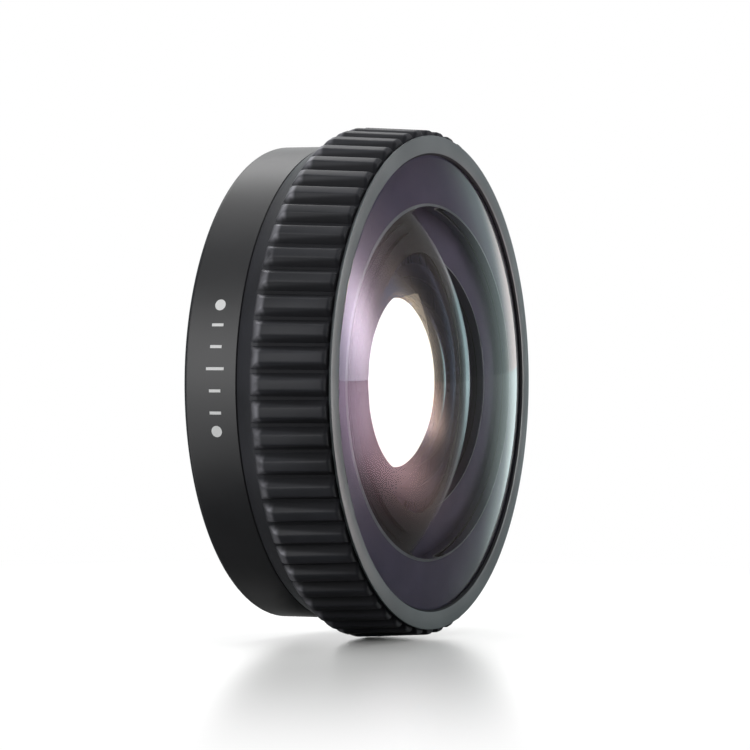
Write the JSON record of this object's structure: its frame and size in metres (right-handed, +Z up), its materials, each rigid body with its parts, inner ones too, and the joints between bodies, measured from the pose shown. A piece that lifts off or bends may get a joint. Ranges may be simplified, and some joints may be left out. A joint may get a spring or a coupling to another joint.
{
  "type": "wide-angle conversion lens",
  "caption": "Round black wide-angle conversion lens with a domed front glass, a ribbed grip ring that turns to lock, and a smooth rear collar.",
  "frame": {"origin": "centre of the rear face that seats on the camera, on the optical axis", "axes": "+Y along the optical axis towards the camera, so the front glass faces -Y; +Z up as the lens stands on its ribbed ring; +X to the right seen from the front"},
  "size_m": [0.046, 0.0182, 0.046],
  "materials": {
    "black_anodised": "satin black anodised",
    "grip_black": "fine-blasted black anodised, ribs cut",
    "bezel_black": "turned and anodised, satin",
    "inner_black": "matt black anodised",
    "coated_glass": "polished, anti-reflection coated",
    "black_rubber": "matt",
    "black_polymer": "smooth slide polymer",
    "black_steel": "blackened screws",
    "mark_paint": "filled paint"
  },
  "bodies": {
    "barrel": {"rear_collar": "black_anodised", "rear_gasket": "black_rubber", "index_dots": "mark_paint", "main_barrel": "inner_black", "damping_ring": "black_rubber", "slide_washer": "black_polymer", "front_bezel": "bezel_black", "front_seal": "black_rubber", "front_element": "coated_glass", "seat_shim": "black_polymer", "second_element": "coated_glass", "crown_element": "coated_glass", "flint_element": "coated_glass", "rear_cell": "inner_black", "cell_screws": "black_steel", "second_retainer": "inner_black", "flare_stop": "inner_black", "rear_retainer": "inner_black", "rear_plate": "inner_black", "plate_screws": "black_steel"},
    "grip": {"grip_ring": "grip_black", "lock_ring": "black_anodised", "drive_screws": "black_steel"}
  },
  "joints": [
    {"name": "twist_lock", "type": "hinge", "parent": "barrel", "child": "grip", "pos_m": [0, -0.01, 0], "axis": [0, 1, 0], "range_deg": [0, 30]}
  ]
}
